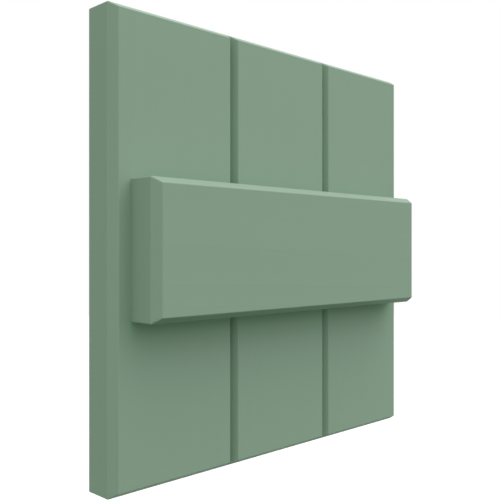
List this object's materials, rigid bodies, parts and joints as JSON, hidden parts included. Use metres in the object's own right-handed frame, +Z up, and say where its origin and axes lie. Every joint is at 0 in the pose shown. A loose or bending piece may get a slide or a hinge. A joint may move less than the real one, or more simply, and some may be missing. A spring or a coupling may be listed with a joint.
{
  "type": "board and batten shutter",
  "caption": "Small square board and batten window shutter: V-jointed boards with one wide batten across their faces, all front edges chamfered.",
  "frame": {"origin": "centre of the panel's flat back, which lies against the wall", "axes": "+X to the right seen from the front, +Y into the wall, +Z up along the boards; the batten stands out towards -Y"},
  "size_m": [0.3048, 0.053, 0.3048],
  "materials": {
    "painted_wood": "sage green paint, smooth and matte",
    "screw_steel": "plain stainless steel"
  },
  "bodies": {
    "root": {"board_left": "painted_wood", "board_middle": "painted_wood", "board_right": "painted_wood", "batten": "painted_wood"}
  },
  "joints": []
}
